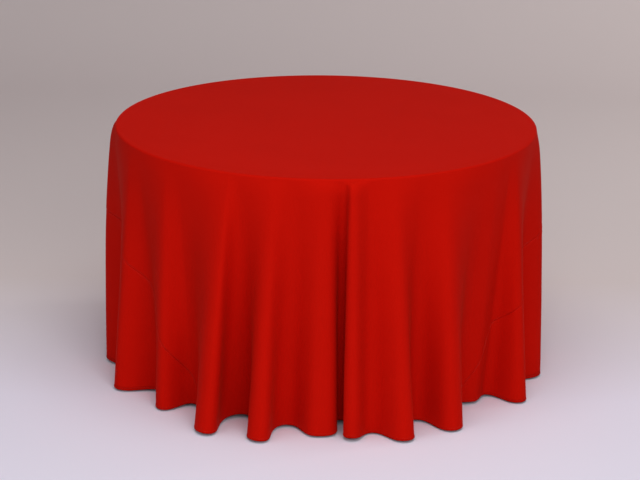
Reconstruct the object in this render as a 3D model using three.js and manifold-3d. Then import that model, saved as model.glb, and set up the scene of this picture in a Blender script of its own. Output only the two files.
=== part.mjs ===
// Round tablecloth draped to the floor over a folding banquet table.
// Millimetres, +Z up. Origin on the floor under the middle of the table; -Y is the front.

import * as THREE from 'three';
import { mergeVertices } from 'three/addons/utils/BufferGeometryUtils.js';
import Module from 'manifold-3d';

const wasm = await Module();
wasm.setup();

// ---------------------------------------------------------------- driving dimensions

// Table
const tableDiameter = 1219;
const tableHeight = 739;
const topThickness = 19;
const edgeBandWidth = 7;
const edgeBandRounding = 5;

// Wooden runners under the top
const runnerHeight = 38;
const runnerWidth = 20;
const runnerEndInset = 66;

// Leg sets: the left one folds in first, and the narrower right one below it
const pivotInset = 244.5;
const legSplay = THREE.MathUtils.degToRad(3);
const legSpread = 260;
const legTubeDiameter = 28;
const legTubeWall = 1.6;
const pivotTubeDiameter = 25;
const crossbarDiameter = 20;
const crossbarDistance = 200;
const legTopOverhang = 16;
const longRunnerGap = 75;
const crossRunnerGap = 77;
const foldGap = 6;
const nestGap = 12;

// Foot caps
const footCapWall = 2.4;
const footCapHeight = 30;
const footCapFloor = 8;
const footCapClearance = 1.6;
const footCapEase = 2;
const footCapTaper = 0.5;

// Pivot brackets and screws
const bracketLength = 30;
const bracketWall = 4;
const bracketFlange = 22;
const bracketGap = 7;
const bracketClearance = 0.6;
const screwHeadDiameter = 9;
const screwHeadHeight = 3;
const screwShankDiameter = 4.5;
const screwBite = 14;
const screwTip = 3.5;

// Braces and their slotted rails
const braceWidth = 18;
const braceThickness = 5;
const sleeveWall = 3;
const sleeveLength = 16;
const pinDiameter = 7;
const pinHead = 4;
const railGap = 1.5;
const railPlateThickness = 3;
const railPlateDepth = 20;
const railDrop = 14;
const braceOffset = 40;
const railFlangeWidth = 20;
const slotClearance = 0.6;
const braceRise = THREE.MathUtils.degToRad(45);
const railEnd = 22;

// Cloth
const hemClearance = 4.1;
const clothThickness = 1;
const clothLift = 0.6;
const edgeBend = 6;
const seamOffset = 880;
const seamTurn = THREE.MathUtils.degToRad(-4.3);
const seamStripWidth = 12;
const seamStripGap = 0.6;
const seamStripThickness = 1.2;
const seamGap = 1.2;
const hemGap = 1.2;
const hemWidth = 5;
const hemThickness = 2.2;
const apronHold = 34;
const foldGrowth = 1.05;
const rowCrowding = 1.5;
const steepestFall = 0.2;

// Clearance between touching pieces, and the round parts' facets
const touchGap = 0.3;
const roundSides = 16;
const bandSides = 72;
const screwSides = 8;
const columnsPerHalfFold = 4;
const skirtRows = 6;
const sideRows = 4;
const fineSteps = 32;
const steepest = 2.1;

// Folds of the skirt at the hem: [azimuth of the crest, its reach, azimuth of the recess, its depth],
// degrees from the front towards +X, and millimetres out from the hanging cloth at the table's edge.
const folds = [
  [-91, 39, -80, -51], [-68, 42, -59.5, -72], [-48.6, 10, -43.5, -88], [-28.6, 80, -24.6, -100],
  [-15.1, 68, -9.7, -74], [-1.7, -3, 5, -98], [7.6, 29, 13.2, -21], [20.2, 68, 28.3, -67],
  [34.4, 57, 46.7, -94], [53.6, -64, 58.6, -72], [62, 50, 71, -61], [83, 46, 91, -46],
  [102, 68, 109, -61], [116, 52, 123, -66], [129, 73, 135.5, -68], [143, 34, 150, -56],
  [158, 66, 166, -76], [173, 57, 180, -68], [187, 34, 194, -56], [201, 78, 209, -74],
  [217, 56, 224, -66], [231, 80, 239, -76], [246, 36, 252, -56], [259, 58, 264.5, -60],
];

// ---------------------------------------------------------------- sizes that follow

const tableRadius = tableDiameter / 2;
const underside = tableHeight - topThickness;
const drapeRadius = tableRadius + clothLift + clothThickness;
const clothTop = tableHeight + clothLift + clothThickness;
const flatRadius = drapeRadius - edgeBend;
const skirtStart = flatRadius + edgeBend * Math.PI / 2;
const fullDrop = clothTop - edgeBend - hemClearance;
const clothRadius = skirtStart + fullDrop;
const pivotOffset = tableRadius - pivotInset;
const footCapDiameter = legTubeDiameter + 2 * (footCapClearance + footCapWall);
const sleeveDiameter = crossbarDiameter + 2 * (touchGap + sleeveWall);
const firstDrop = railDrop + (railPlateDepth + sleeveDiameter) / 2 + foldGap;
const secondDrop = firstDrop + (crossbarDiameter + legTubeDiameter) / 2 + foldGap;
const legSets = [
  { name: 'left', side: -1, halfSpread: legSpread, pivotDrop: firstDrop, braceY: braceOffset },
  {
    name: 'right', side: 1, halfSpread: legSpread - footCapDiameter - nestGap, pivotDrop: secondDrop,
    braceY: -braceOffset,
  },
];
const longRunnerOffset = legSpread + longRunnerGap;
const crossRunnerOffset = pivotOffset + crossRunnerGap;

// ---------------------------------------------------------------- materials

const finish = (colour, roughness, metalness) => new THREE.MeshStandardMaterial({
  color: new THREE.Color(colour), roughness, metalness,
});
const fabric = () => finish('#b5170b', 0.85, 0);
const plywood = () => finish('#b98e5c', 0.7, 0);
const hardwood = () => finish('#c79f6b', 0.65, 0);
const vinyl = () => finish('#4a3626', 0.5, 0);
const steel = () => finish('#5b5d60', 0.42, 0.85);
const zinc = () => finish('#b9bcc0', 0.35, 0.9);
const rubber = () => finish('#1d1d1e', 0.9, 0);

// ---------------------------------------------------------------- helpers

const model = new THREE.Group();

/** Adds one named piece to the model. */
function addPiece(name, geometry, material) {
  const mesh = new THREE.Mesh(geometry, material);
  mesh.name = name;
  model.add(mesh);
  return mesh;
}

/** A manifold solid from a closed geometry. */
function toSolid(geometry) {
  const bare = geometry.clone();
  bare.deleteAttribute('normal');
  bare.deleteAttribute('uv');
  const merged = mergeVertices(bare, 1e-3);
  return new wasm.Manifold(new wasm.Mesh({
    numProp: 3,
    vertProperties: new Float32Array(merged.attributes.position.array),
    triVerts: new Uint32Array(merged.index.array),
  }));
}

/** A geometry from a manifold solid. */
function fromSolid(solid) {
  const mesh = solid.getMesh();
  const geometry = new THREE.BufferGeometry();
  geometry.setAttribute('position', new THREE.BufferAttribute(new Float32Array(mesh.vertProperties), 3));
  geometry.setIndex(new THREE.BufferAttribute(new Uint32Array(mesh.triVerts), 1));
  return geometry;
}

/** Two closed geometries joined into one body. */
const join = (first, second) => fromSolid(toSolid(first).add(toSolid(second)));

/** One closed geometry with another cut away. */
const cut = (first, second) => fromSolid(toSolid(first).subtract(toSolid(second)));

/** A box given by its lowest and highest corners. */
function boxBetween(low, high) {
  const size = high.map((value, i) => value - low[i]);
  const box = new THREE.BoxGeometry(...size);
  return box.translate(...low.map((value, i) => value + size[i] / 2));
}

/** A round bar, or a tube when a wall is given, from one point to another. */
function roundBar(from, to, diameter, wall = 0, sides = roundSides) {
  const outline = new THREE.Shape();
  outline.absarc(0, 0, diameter / 2, 0, 2 * Math.PI, false);
  if (wall > 0) {
    const bore = new THREE.Path();
    bore.absarc(0, 0, diameter / 2 - wall, 0, 2 * Math.PI, true);
    outline.holes.push(bore);
  }
  const axis = new THREE.Vector3().subVectors(to, from);
  const bar = new THREE.ExtrudeGeometry(outline, {
    depth: axis.length(), bevelEnabled: false, curveSegments: sides / 2,
  });
  const turn = new THREE.Quaternion().setFromUnitVectors(new THREE.Vector3(0, 0, 1), axis.normalize());
  return bar.applyQuaternion(turn).translate(from.x, from.y, from.z);
}

// ---------------------------------------------------------------- tabletop

function addTop() {
  const discRadius = tableRadius - edgeBandWidth - touchGap;
  const disc = roundBar(
    new THREE.Vector3(0, 0, underside), new THREE.Vector3(0, 0, tableHeight),
    2 * discRadius, 0, bandSides,
  );
  addPiece('tabletop', disc, plywood());

  const inner = tableRadius - edgeBandWidth;
  const steps = 3;
  const profile = [new THREE.Vector2(inner, underside)];
  for (const [centreZ, startAngle] of [
    [underside + edgeBandRounding, -Math.PI / 2], [tableHeight - edgeBandRounding, 0],
  ]) {
    for (let step = 0; step <= steps; step += 1) {
      const angle = startAngle + step / steps * Math.PI / 2;
      profile.push(new THREE.Vector2(
        tableRadius - edgeBandRounding + edgeBandRounding * Math.cos(angle),
        centreZ + edgeBandRounding * Math.sin(angle),
      ));
    }
  }
  profile.push(new THREE.Vector2(inner, tableHeight), profile[0].clone());
  addPiece('edge_band', new THREE.LatheGeometry(profile, bandSides).rotateX(Math.PI / 2), vinyl());
}

function addRunners() {
  const top = underside - touchGap;
  const bottom = top - runnerHeight;
  const halfWidth = runnerWidth / 2;
  const halfLong = Math.sqrt((tableRadius - runnerEndInset) ** 2 - (longRunnerOffset + halfWidth) ** 2);
  for (const [name, side] of [['front', -1], ['back', 1]]) {
    const middle = side * longRunnerOffset;
    addPiece(`runner_${name}`, boxBetween(
      [-halfLong, middle - halfWidth, bottom], [halfLong, middle + halfWidth, top],
    ), hardwood());
  }
  const halfCross = longRunnerOffset - halfWidth - touchGap;
  for (const [name, side] of [['left', -1], ['right', 1]]) {
    const middle = side * crossRunnerOffset;
    addPiece(`cross_runner_${name}`, boxBetween(
      [middle - halfWidth, -halfCross, bottom], [middle + halfWidth, halfCross, top],
    ), hardwood());
  }
}

// ---------------------------------------------------------------- leg sets

/** A pan head screw going up into the tabletop's underside. */
function addScrew(name, x, y, headTop) {
  const headRadius = screwHeadDiameter / 2;
  const shankRadius = screwShankDiameter / 2;
  const profile = [
    new THREE.Vector2(0, headTop - screwHeadHeight),
    new THREE.Vector2(headRadius - screwHeadHeight / 2, headTop - screwHeadHeight),
    new THREE.Vector2(headRadius, headTop - screwHeadHeight / 2),
    new THREE.Vector2(headRadius, headTop),
    new THREE.Vector2(shankRadius, headTop),
    new THREE.Vector2(shankRadius, headTop + screwBite - screwTip),
    new THREE.Vector2(0, headTop + screwBite),
  ];
  const screw = new THREE.LatheGeometry(profile, screwSides).rotateX(Math.PI / 2);
  addPiece(name, screw.translate(x, y, 0), zinc());
}

/** Holes for a list of screws, cut out of a solid. */
function drill(geometry, points, diameter, from, to) {
  let result = geometry;
  for (const [x, y] of points) {
    result = cut(result, roundBar(
      new THREE.Vector3(x, y, from), new THREE.Vector3(x, y, to), diameter, 0, screwSides,
    ));
  }
  return result;
}

const screwPoints = [];

/** A saddle bracket that hangs a pivot tube from the underside. */
function addBracket(set, name, y) {
  const x = set.side * pivotOffset;
  const inner = pivotTubeDiameter / 2 + bracketClearance;
  const outer = inner + bracketWall;
  const top = underside - touchGap;
  const pivotZ = underside - set.pivotDrop;
  const low = y - bracketLength / 2;
  const high = y + bracketLength / 2;
  const flangeReach = outer + bracketFlange;
  const flange = boxBetween([x - flangeReach, low, top - bracketWall], [x + flangeReach, high, top]);
  const web = boxBetween([x - outer, low, pivotZ], [x + outer, high, top - bracketWall / 2]);
  const belly = roundBar(
    new THREE.Vector3(x, low, pivotZ), new THREE.Vector3(x, high, pivotZ), 2 * outer,
  );
  const bore = roundBar(
    new THREE.Vector3(x, low - 1, pivotZ), new THREE.Vector3(x, high + 1, pivotZ), 2 * inner,
  );
  const body = cut(join(join(flange, web), belly), bore);
  const holes = [-1, 1].map((side) => [x + side * (outer + bracketFlange / 2), y]);
  addPiece(name, drill(
    body, holes, screwShankDiameter + 2 * touchGap, top - bracketWall - 1, top + 1,
  ), zinc());
  holes.forEach(([sx, sy], i) => {
    screwPoints.push([sx, sy]);
    addScrew(`${name}_screw_${i + 1}`, sx, sy, top - bracketWall - touchGap);
  });
}

/** A brace: sleeve on the crossbar, flat arm, slide pin, and the slotted rail it runs in. */
function addBrace(set, pivot, alongLeg) {
  const inward = -set.side;
  const hub = pivot.clone().addScaledVector(alongLeg, crossbarDistance);
  const railZ = underside - railDrop;
  const rise = railZ - hub.z;
  const reach = rise / Math.tan(braceRise);
  const tip = new THREE.Vector3(hub.x + inward * reach, set.braceY, railZ);
  const root = new THREE.Vector3(hub.x, set.braceY, hub.z);

  addPiece(`brace_sleeve_${set.name}`, roundBar(
    new THREE.Vector3(root.x, root.y - sleeveLength / 2, root.z),
    new THREE.Vector3(root.x, root.y + sleeveLength / 2, root.z),
    sleeveDiameter, sleeveWall,
  ), steel());

  // The arm is a flat bar beside the rail, drilled for the pin.
  const direction = new THREE.Vector3().subVectors(tip, root).normalize();
  const start = sleeveDiameter / 2 + touchGap;
  const length = root.distanceTo(tip) - start;
  const outline = new THREE.Shape();
  const half = braceWidth / 2;
  outline.moveTo(0, -half);
  outline.lineTo(length, -half);
  outline.absarc(length, 0, half, -Math.PI / 2, Math.PI / 2, false);
  outline.lineTo(0, half);
  outline.closePath();
  const pinHole = new THREE.Path();
  pinHole.absarc(length, 0, pinDiameter / 2 + touchGap, 0, 2 * Math.PI, true);
  outline.holes.push(pinHole);
  const arm = new THREE.ExtrudeGeometry(outline, {
    depth: braceThickness, bevelEnabled: false, curveSegments: 8,
  });
  arm.translate(0, 0, -braceThickness / 2);
  const basis = new THREE.Matrix4().makeBasis(
    direction, new THREE.Vector3(0, 1, 0).cross(direction).normalize(), new THREE.Vector3(0, 1, 0),
  );
  arm.applyMatrix4(basis);
  const armStart = root.clone().addScaledVector(direction, start);
  arm.translate(armStart.x, armStart.y, armStart.z);
  addPiece(`brace_arm_${set.name}`, arm, steel());

  addPiece(`brace_pin_${set.name}`, roundBar(
    new THREE.Vector3(tip.x, tip.y - braceThickness / 2 - pinHead, tip.z),
    new THREE.Vector3(tip.x, tip.y + braceThickness / 2 + railGap - touchGap, tip.z), pinDiameter, 0, 12,
  ), zinc());

  // The rail's plate hangs beside the arm, and the pin stops just short of its slot.
  const plateLow = set.braceY + braceThickness / 2 + railGap;
  const plateHigh = plateLow + railPlateThickness;
  const slotHalf = pinDiameter / 2 + slotClearance;
  const foldedReach = Math.sqrt(root.distanceToSquared(tip) - (railZ - pivot.z) ** 2);
  const foldedTip = pivot.x + inward * (crossbarDistance + foldedReach);
  const slotEnds = [tip.x, foldedTip].sort((a, b) => a - b);
  const ends = [slotEnds[0] - railEnd, slotEnds[1] + railEnd];
  const top = underside - touchGap;
  const plate = boxBetween(
    [ends[0], plateLow, railZ - railPlateDepth / 2], [ends[1], plateHigh, top],
  );
  const flange = boxBetween(
    [ends[0], plateLow, top - railPlateThickness], [ends[1], plateLow + railFlangeWidth, top],
  );
  const slot = boxBetween(
    [slotEnds[0] - slotHalf, plateLow - 1, railZ - slotHalf],
    [slotEnds[1] + slotHalf, plateHigh + 1, railZ + slotHalf],
  );
  const screwY = plateLow + railPlateThickness + (railFlangeWidth - railPlateThickness) / 2;
  const holes = ends.map((x, i) => [x + (i === 0 ? 1 : -1) * railEnd, screwY]);
  addPiece(`brace_rail_${set.name}`, drill(
    cut(join(plate, flange), slot), holes, screwShankDiameter + 2 * touchGap,
    top - railPlateThickness - 1, top + 1,
  ), zinc());
  holes.forEach(([sx, sy], i) => {
    screwPoints.push([sx, sy]);
    addScrew(`brace_rail_${set.name}_screw_${i + 1}`, sx, sy, top - railPlateThickness - touchGap);
  });
}

function addLegSet(set) {
  const pivot = new THREE.Vector3(set.side * pivotOffset, 0, underside - set.pivotDrop);
  const alongLeg = new THREE.Vector3(set.side * Math.sin(legSplay), 0, -Math.cos(legSplay));
  const footLength = pivot.z / Math.cos(legSplay);
  const legRadius = legTubeDiameter / 2;
  const inside = set.halfSpread - legRadius - touchGap;

  for (const [name, side] of [['front', -1], ['back', 1]]) {
    const y = side * set.halfSpread;
    const at = (distance) => pivot.clone().addScaledVector(alongLeg, distance).setY(y);
    const tubeEnd = footLength - (footCapFloor + touchGap + footCapClearance) / Math.cos(legSplay);
    addPiece(`leg_${set.name}_${name}`, roundBar(
      at(-legTopOverhang), at(tubeEnd), legTubeDiameter, legTubeWall,
    ), steel());

    const foot = at(footLength);
    const capRadius = footCapDiameter / 2;
    const socketRadius = legRadius + footCapClearance;
    const profile = [
      [0, 0], [capRadius - footCapEase, 0], [capRadius, footCapEase],
      [capRadius - footCapTaper, footCapHeight],
      [socketRadius, footCapHeight], [socketRadius, footCapFloor], [0, footCapFloor],
    ].map(([r, z]) => new THREE.Vector2(r, z));
    const cap = new THREE.LatheGeometry(profile, roundSides).rotateX(Math.PI / 2);
    cap.translate(foot.x, foot.y, 0);
    addPiece(`foot_cap_${set.name}_${name}`, cap, rubber());

    addBracket(set, `bracket_${set.name}_${name}`, side * (inside - bracketGap - bracketLength / 2));
  }

  const across = (name, centre, diameter, wall) => addPiece(name, roundBar(
    centre.clone().setY(-inside), centre.clone().setY(inside), diameter, wall,
  ), steel());
  across(`pivot_tube_${set.name}`, pivot, pivotTubeDiameter, legTubeWall);
  const crossbar = pivot.clone().addScaledVector(alongLeg, crossbarDistance);
  across(`crossbar_${set.name}`, crossbar, crossbarDiameter, legTubeWall);
  addBrace(set, pivot, alongLeg);
}

// ---------------------------------------------------------------- folds of the cloth

/** Shares of a half fold's advance and rise: its heading swings out by `swing` and back again. */
function halfFoldShares(swing, steps) {
  const advance = [0];
  const rise = [0];
  for (let i = 0; i < steps; i += 1) {
    const heading = swing * Math.sin(Math.PI * (i + 0.5) / steps);
    advance.push(advance[i] + Math.cos(heading) / steps);
    rise.push(rise[i] + Math.sin(heading) / steps);
  }
  return { advance, rise };
}

/** The swing that gives a half fold this ratio of rise to advance. */
function swingFor(ratio) {
  let low = 0;
  let high = steepest;
  for (let i = 0; i < 30; i += 1) {
    const middle = (low + high) / 2;
    const { advance, rise } = halfFoldShares(middle, fineSteps);
    if (rise[fineSteps] < ratio * advance[fineSteps]) {
      low = middle;
    } else {
      high = middle;
    }
  }
  return (low + high) / 2;
}

/** Crests and recesses in order, in radians and millimetres, at a drop below the edge. */
function turningPoints(drop) {
  const stand = (drop / fullDrop) ** foldGrowth;
  const fall = (Math.max(0, drop - apronHold) / (fullDrop - apronHold)) ** foldGrowth;
  const points = [];
  folds.forEach(([crest, reach, recess, depth], i) => {
    const before = folds[(i + folds.length - 1) % folds.length][3];
    const foot = (before + depth) / 2;
    const crestRadius = drapeRadius + foot * fall + (reach - foot) * stand;
    points.push([THREE.MathUtils.degToRad(crest), crestRadius]);
    points.push([THREE.MathUtils.degToRad(recess), drapeRadius + depth * fall]);
  });
  return points;
}

const turns = folds.flatMap(([crest, , recess]) => [crest, recess]).map(THREE.MathUtils.degToRad);
const columnCount = turns.length * columnsPerHalfFold;

/** The angle, in the flat cloth, of a column; columns are even between one turn and the next. */
function columnAngle(column) {
  const whole = ((column % columnCount) + columnCount) % columnCount;
  const half = Math.floor(whole / columnsPerHalfFold);
  const span = (turns[(half + 1) % turns.length] - turns[half] + 2 * Math.PI) % (2 * Math.PI);
  return turns[half] + span * (whole % columnsPerHalfFold) / columnsPerHalfFold;
}

/** Plan positions of every column at a drop below the edge. */
function planRow(drop) {
  const points = turningPoints(drop);
  const row = [];
  points.forEach(([angle, radius], i) => {
    const [nextAngle, nextRadius] = points[(i + 1) % points.length];
    const turn = (nextAngle - angle + 2 * Math.PI) % (2 * Math.PI);
    const ratio = Math.abs(nextRadius - radius) / (turn * (radius + nextRadius) / 2);
    const { advance, rise } = halfFoldShares(swingFor(ratio), fineSteps);
    for (let column = 0; column < columnsPerHalfFold; column += 1) {
      const step = column * fineSteps / columnsPerHalfFold;
      const bearing = angle + turn * advance[step] / advance[fineSteps];
      const climb = rise[fineSteps] > 0 ? rise[step] / rise[fineSteps] : 0;
      const reach = radius + (nextRadius - radius) * climb;
      row.push(new THREE.Vector3(reach * Math.sin(bearing), -reach * Math.cos(bearing), 0));
    }
  });
  return row;
}

// Rows of the skirt, closer together near the edge; heights follow from the cloth's own length.
const rowDrops = Array.from({ length: skirtRows + 1 }, (_, i) => fullDrop * (i / skirtRows) ** rowCrowding);
const skirt = rowDrops.map(planRow);
skirt[0].forEach((point) => point.setZ(clothTop - edgeBend));
for (let row = 1; row <= skirtRows; row += 1) {
  const step = rowDrops[row] - rowDrops[row - 1];
  skirt[row].forEach((point, column) => {
    const above = skirt[row - 1][column];
    const sideways = Math.hypot(point.x - above.x, point.y - above.y);
    point.z = above.z - Math.sqrt(Math.max(step * step - sideways * sideways, steepestFall * step * step));
  });
}

/** The draped place of a point of the flat cloth: its distance from the middle, and its column. */
function draped(distance, column) {
  const whole = ((column % columnCount) + columnCount) % columnCount;
  const bearing = columnAngle(whole);
  const outward = new THREE.Vector3(Math.sin(bearing), -Math.cos(bearing), 0);
  if (distance <= flatRadius) {
    return outward.multiplyScalar(distance).setZ(clothTop);
  }
  if (distance < skirtStart) {
    const angle = (distance - flatRadius) / edgeBend;
    const reach = flatRadius + edgeBend * Math.sin(angle);
    return outward.multiplyScalar(reach).setZ(clothTop - edgeBend * (1 - Math.cos(angle)));
  }
  const drop = Math.min(distance - skirtStart, fullDrop);
  let row = 1;
  while (row < skirtRows && rowDrops[row] < drop) {
    row += 1;
  }
  const share = (drop - rowDrops[row - 1]) / (rowDrops[row] - rowDrops[row - 1]);
  return skirt[row - 1][whole].clone().lerp(skirt[row][whole], share);
}

// ---------------------------------------------------------------- cloth solids

/** A closed sheet from a grid of points; the outer face comes first, the inner lies below it. */
function sheetBetween(grid, thickness, closedRound, lift = 0) {
  const rows = grid.length;
  const columns = grid[0].length;
  const normals = grid.map((line) => line.map(() => new THREE.Vector3()));
  const nextColumn = (c) => (closedRound ? (c + 1) % columns : c + 1);
  const lastColumn = closedRound ? columns : columns - 1;
  const triangles = [];
  for (let r = 0; r + 1 < rows; r += 1) {
    for (let c = 0; c < lastColumn; c += 1) {
      const d = nextColumn(c);
      triangles.push([[r, c], [r + 1, c], [r + 1, d]], [[r, c], [r + 1, d], [r, d]]);
    }
  }
  const place = ([r, c]) => grid[r][c];
  const real = triangles.filter((corners) => {
    const [a, b, c] = corners.map(place);
    return a.distanceTo(b) > 1e-3 && b.distanceTo(c) > 1e-3 && c.distanceTo(a) > 1e-3;
  });
  for (const corners of real) {
    const [a, b, c] = corners.map(place);
    const normal = new THREE.Vector3().subVectors(b, a).cross(new THREE.Vector3().subVectors(c, a));
    corners.forEach(([r, k]) => normals[r][k].add(normal));
  }
  // Points that share a place share a normal.
  const shared = new Map();
  const key = (point) => `${point.x.toFixed(2)},${point.y.toFixed(2)},${point.z.toFixed(2)}`;
  grid.forEach((line, r) => line.forEach((point, c) => {
    const sum = shared.get(key(point)) ?? new THREE.Vector3();
    shared.set(key(point), sum.add(normals[r][c]));
  }));
  const offset = (corner, distance) => {
    const point = place(corner);
    return point.clone().addScaledVector(shared.get(key(point)).clone().normalize(), distance);
  };
  const positions = [];
  const emit = (...points) => points.forEach((p) => positions.push(p.x, p.y, p.z));
  const edges = new Map();
  for (const corners of real) {
    emit(...corners.map((corner) => offset(corner, lift)));
    emit(...corners.map((corner) => offset(corner, lift - thickness)).reverse());
    for (let i = 0; i < 3; i += 1) {
      const from = corners[i];
      const to = corners[(i + 1) % 3];
      const forward = `${key(place(from))}>${key(place(to))}`;
      const backward = `${key(place(to))}>${key(place(from))}`;
      if (edges.has(backward)) {
        edges.delete(backward);
      } else {
        edges.set(forward, [from, to]);
      }
    }
  }
  for (const [from, to] of edges.values()) {
    const a = offset(from, lift);
    const b = offset(to, lift);
    const c = offset(to, lift - thickness);
    const d = offset(from, lift - thickness);
    emit(a, d, c, a, c, b);
  }
  const geometry = new THREE.BufferGeometry();
  geometry.setAttribute('position', new THREE.BufferAttribute(new Float32Array(positions), 3));
  return geometry;
}

/** How far out along a column the straight seam lies, on either side of the cloth. */
const seamDistance = (column) => seamOffset / Math.abs(Math.sin(columnAngle(column) + seamTurn));

const panelEdge = clothRadius - hemWidth - hemGap;

function addCentrePanel() {
  const rim = (column) => Math.min(panelEdge, seamDistance(column) - seamGap / 2);
  const bend = [0, 1, 2, 3].map((i) => flatRadius + (skirtStart - flatRadius) * i / 3);
  const grid = [0, ...bend].map((distance) => (
    Array.from({ length: columnCount }, (_, c) => draped(distance, c))
  ));
  for (let row = 1; row <= skirtRows; row += 1) {
    const share = rowDrops[row] / fullDrop;
    grid.push(Array.from({ length: columnCount }, (_, c) => (
      draped(skirtStart + (rim(c) - skirtStart) * share, c)
    )));
  }
  addPiece('centre_panel', sheetBetween(grid, clothThickness, true), fabric());
}

/** Columns of the half of the cloth on one side whose seam lies inside the rim. */
function sideColumns(side) {
  const columns = [];
  for (let c = 0; c < columnCount; c += 1) {
    const onSide = Math.sign(Math.sin(columnAngle(c) + seamTurn)) === side;
    if (onSide && seamDistance(c) + seamGap < panelEdge) {
      columns.push(c);
    }
  }
  const start = columns.findIndex((c, i) => i > 0 && c !== columns[i - 1] + 1);
  return start < 0 ? columns : [...columns.slice(start), ...columns.slice(0, start)];
}

function addSidePanels() {
  for (const [name, side] of [['left', -1], ['right', 1]]) {
    const columns = sideColumns(side);
    const grid = [];
    for (let row = 0; row <= sideRows; row += 1) {
      grid.push(columns.map((c) => {
        const inner = seamDistance(c) + seamGap / 2;
        return draped(inner + (panelEdge - inner) * row / sideRows, c);
      }));
    }
    addPiece(`side_panel_${name}`, sheetBetween(grid, clothThickness, false), fabric());

    // The felled seam allowance lies on the inside, under both panels' edges.
    const strip = [-1, 0, 1].map((edge) => columns.slice(1, -1).map((c) => (
      draped(Math.min(seamDistance(c) + edge * seamStripWidth / 2, panelEdge), c)
    )));
    addPiece(`seam_${name}`, sheetBetween(
      strip, seamStripThickness, false, -clothThickness - seamStripGap,
    ), fabric());
  }
}

function addHem() {
  const grid = [clothRadius - hemWidth, clothRadius].map((distance) => (
    Array.from({ length: columnCount }, (_, c) => draped(distance, c))
  ));
  const lift = (hemThickness - clothThickness) / 2;
  addPiece('hem', sheetBetween(grid, hemThickness, true, lift), fabric());
}

// ---------------------------------------------------------------- assembly

addTop();
addRunners();
legSets.forEach(addLegSet);
addCentrePanel();
addSidePanels();
addHem();

// Every screw bites into the tabletop, which has a pilot hole for each.
const tabletop = model.children.find((mesh) => mesh.name === 'tabletop');
tabletop.geometry = drill(
  tabletop.geometry, screwPoints, screwShankDiameter + 2 * touchGap, underside - 1,
  underside + screwBite,
);

export default model;
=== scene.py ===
"""Round tablecloth draped to the floor over a folding banquet table.

The table's own pieces keep the frame's shapes and get their finishes here, and the cloth's plain
solids are replaced by a finely folded cloth, its rolled hem, its two chord seams and their
stitching. Metres throughout, +Z up, the front of the table towards -Y.
"""
import logging
import math
from dataclasses import dataclass, field
from enum import Enum

import bmesh
import bpy
import numpy as np
from mathutils import Matrix, Vector


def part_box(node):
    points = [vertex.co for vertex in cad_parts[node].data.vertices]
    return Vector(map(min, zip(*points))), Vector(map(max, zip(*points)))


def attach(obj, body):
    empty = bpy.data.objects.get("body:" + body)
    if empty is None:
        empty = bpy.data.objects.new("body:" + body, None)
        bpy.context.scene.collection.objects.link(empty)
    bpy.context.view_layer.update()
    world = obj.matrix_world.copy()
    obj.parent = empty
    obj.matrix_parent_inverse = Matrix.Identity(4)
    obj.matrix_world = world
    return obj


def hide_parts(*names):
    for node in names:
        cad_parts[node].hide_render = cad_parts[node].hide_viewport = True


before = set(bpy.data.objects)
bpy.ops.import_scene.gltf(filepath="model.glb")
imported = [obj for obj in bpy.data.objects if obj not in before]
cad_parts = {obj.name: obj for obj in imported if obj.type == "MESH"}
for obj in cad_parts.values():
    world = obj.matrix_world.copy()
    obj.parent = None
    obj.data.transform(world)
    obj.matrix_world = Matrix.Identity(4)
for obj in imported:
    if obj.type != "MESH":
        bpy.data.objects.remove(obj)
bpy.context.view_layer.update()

log = logging.getLogger("tablecloth")

Triple = tuple[float, float, float]
Piece = bpy.types.Object
Material = bpy.types.Material

TABLE_BODY = "table"
CLOTH_RADIUS = 1.345
EDGE_CLEARANCE = 0.0016
FULL_TURN = 2 * math.pi
QUARTER_TURN = math.pi / 2
PLAIN = (1, 1, 1)


# ------------------------------------ materials


class Wire:
    """A shader socket that takes part in Python sums, so that an expression adds its Math nodes."""

    def __init__(self, tree: "NodeTree", socket: bpy.types.NodeSocket) -> None:
        """Wraps one output socket of a tree."""
        self.tree = tree
        self.socket = socket

    def _math(self, operation: str, *values: "Wire | float") -> "Wire":
        """Adds one Math node and returns its output."""
        return self.tree.node("ShaderNodeMath", {"operation": operation}, dict(enumerate(values)))

    def __add__(self, other: "Wire | float") -> "Wire":
        """self + other."""
        return self._math("ADD", self, other)

    def __mul__(self, other: "Wire | float") -> "Wire":
        """self * other."""
        return self._math("MULTIPLY", self, other)

    def __sub__(self, other: "Wire | float") -> "Wire":
        """self - other."""
        return self._math("SUBTRACT", self, other)

    def sine(self) -> "Wire":
        """The sine of this value."""
        return self._math("SINE", self)

    def clamped(self) -> "Wire":
        """This value kept between 0 and 1."""
        return self._math("MAXIMUM", self._math("MINIMUM", self, 1.0), 0.0)


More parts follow.
